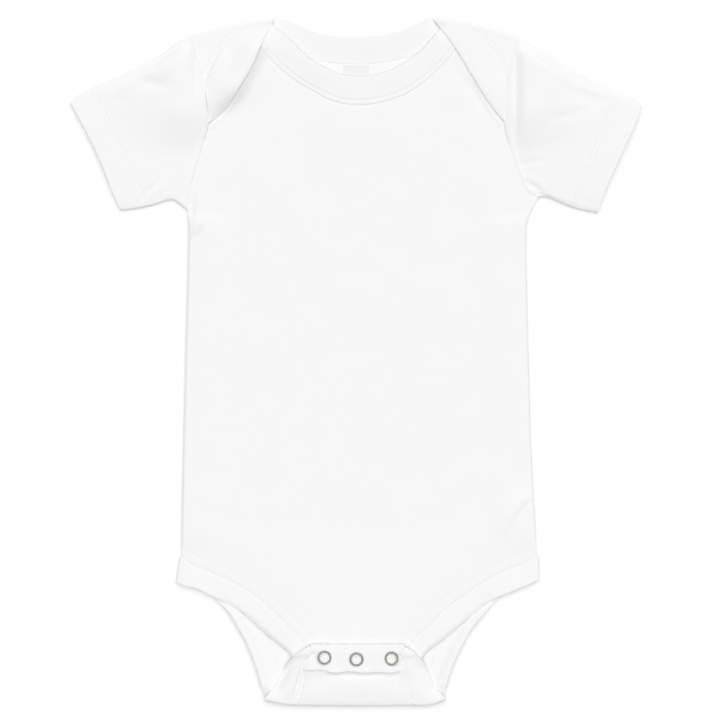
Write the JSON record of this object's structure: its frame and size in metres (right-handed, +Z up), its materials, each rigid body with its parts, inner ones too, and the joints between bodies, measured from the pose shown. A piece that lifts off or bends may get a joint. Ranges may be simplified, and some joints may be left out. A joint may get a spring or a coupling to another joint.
{
  "type": "baby onesie",
  "caption": "Short-sleeved baby bodysuit of white cotton knit with lap shoulders and rib edges, snapped at the crotch, laid flat with its front up.",
  "frame": {"origin": "bottom centre of the garment's box, on the surface that it lies on", "axes": "+Z up off the surface, through the front; +Y from the crotch to the neck; +X to the viewer's right, which is the wearer's left"},
  "size_m": [0.3512, 0.4226, 0.0088],
  "materials": {
    "jersey": "fine white cotton interlock knit, matt",
    "rib": "white cotton rib knit, doubled and coverstitched, matt",
    "label_satin": "plain white woven satin strip",
    "snap_metal": "nickel-plated brass ring snap, polished and a little dulled"
  },
  "bodies": {
    "root": {"back_panel": "jersey", "front_panel": "jersey", "sleeve_left": "jersey", "sleeve_right": "jersey", "neckband_front": "rib", "neckband_back": "rib", "leg_band_left": "rib", "leg_band_right": "rib", "snap_placket": "rib", "neck_label": "label_satin", "snap_cap_1": "snap_metal", "snap_socket_1": "snap_metal", "snap_stud_1": "snap_metal", "snap_post_ring_1": "snap_metal", "snap_cap_2": "snap_metal", "snap_socket_2": "snap_metal", "snap_stud_2": "snap_metal", "snap_post_ring_2": "snap_metal", "snap_cap_3": "snap_metal", "snap_socket_3": "snap_metal", "snap_stud_3": "snap_metal", "snap_post_ring_3": "snap_metal"}
  },
  "joints": []
}
